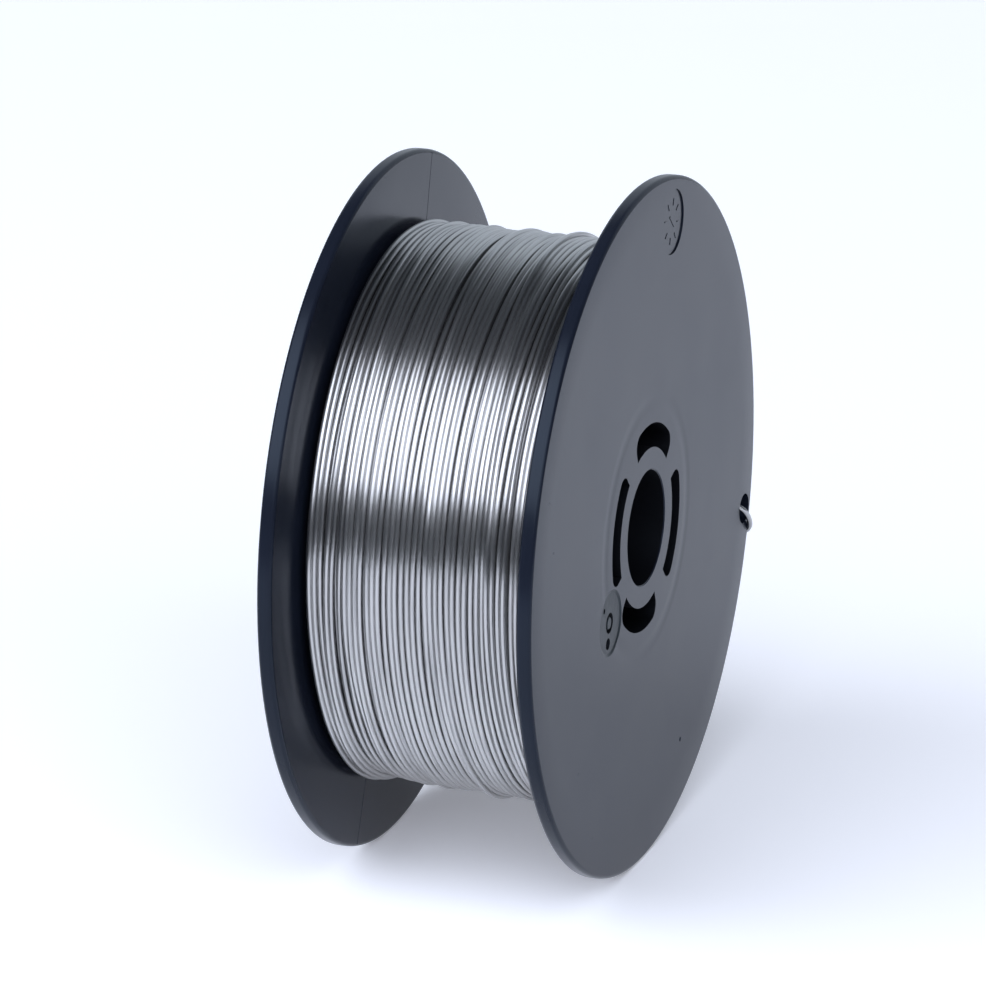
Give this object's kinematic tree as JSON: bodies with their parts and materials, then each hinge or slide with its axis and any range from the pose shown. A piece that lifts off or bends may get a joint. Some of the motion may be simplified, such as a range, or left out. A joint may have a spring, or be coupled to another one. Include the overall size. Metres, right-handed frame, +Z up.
{
  "type": "welding wire spool",
  "caption": "Small plastic spool with two flanges and a cored hub, fully wound with bare steel welding wire whose end is hooked through a hole at the rim.",
  "frame": {"origin": "centre of the bore at mid-width", "axes": "+Y along the bore's axis towards the back flange, so the front flange with the wire's hole faces -Y; +Z up as the spool stands on its rims"},
  "size_m": [0.1, 0.0409, 0.1],
  "materials": {
    "spool_plastic": "moulded, satin to half gloss, black",
    "wire_steel": "drawn, bright, bare"
  },
  "bodies": {
    "root": {"spool": "spool_plastic", "welding_wire": "wire_steel"}
  },
  "joints": []
}
